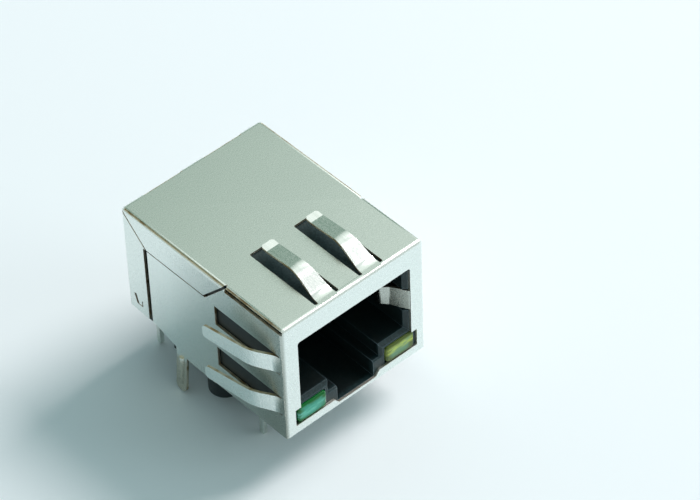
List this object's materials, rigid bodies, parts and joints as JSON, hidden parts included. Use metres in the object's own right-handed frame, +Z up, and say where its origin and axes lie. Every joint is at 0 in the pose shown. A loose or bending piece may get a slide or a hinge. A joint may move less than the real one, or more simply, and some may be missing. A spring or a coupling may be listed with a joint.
{
  "type": "modular board jack",
  "caption": "Shielded right-angle modular network jack for a circuit board, with plug cavity, indicator lamps, grounding fingers, locating posts, solder pins and internal filter.",
  "frame": {"origin": "on the board plane, midway between the two locating posts", "axes": "+X across the jack, to the right seen from the mating face; +Y from the mating face to the rear wall, so plugs enter along +Y; +Z up from the board"},
  "size_m": [0.0198, 0.0209, 0.0188],
  "materials": {
    "tinned_sheet": "matte tin plate with fine grain",
    "black_nylon": "moulded satin",
    "grey_nylon": "moulded satin",
    "green_lens": "diffused clear resin",
    "yellow_lens": "diffused clear resin",
    "green_board": "solder mask",
    "clear_potting": "cast silicone",
    "ceramic_tan": "fired satin",
    "gold_bronze": "bright plate",
    "tinned_wire": "bright tin plate",
    "ferrite": "fired matte",
    "copper_wire": "lacquered",
    "ceramic_dark": "fired satin"
  },
  "bodies": {
    "root": {"shield": "tinned_sheet", "housing": "black_nylon", "contact_carrier": "grey_nylon", "contact_1": "gold_bronze", "contact_2": "gold_bronze", "contact_3": "gold_bronze", "contact_4": "gold_bronze", "contact_5": "gold_bronze", "contact_6": "gold_bronze", "contact_7": "gold_bronze", "contact_8": "gold_bronze", "led_green": "green_lens", "led_yellow": "yellow_lens", "led_lead_1": "tinned_wire", "led_lead_2": "tinned_wire", "led_lead_3": "tinned_wire", "led_lead_4": "tinned_wire", "rear_tray": "black_nylon", "signal_pin_1": "tinned_wire", "signal_pin_2": "tinned_wire", "signal_pin_3": "tinned_wire", "signal_pin_4": "tinned_wire", "signal_pin_5": "tinned_wire", "signal_pin_6": "tinned_wire", "signal_pin_7": "tinned_wire", "signal_pin_8": "tinned_wire", "signal_pin_9": "tinned_wire", "signal_pin_10": "tinned_wire", "magnetics_board": "green_board", "core_1": "ferrite", "core_2": "ferrite", "core_3": "ferrite", "core_4": "ferrite", "winding_1": "copper_wire", "winding_2": "copper_wire", "winding_3": "copper_wire", "winding_4": "copper_wire", "potting": "clear_potting", "hv_capacitor": "ceramic_tan", "resistor_1": "ceramic_dark", "resistor_2": "ceramic_dark", "resistor_3": "ceramic_dark", "resistor_4": "ceramic_dark"}
  },
  "joints": []
}
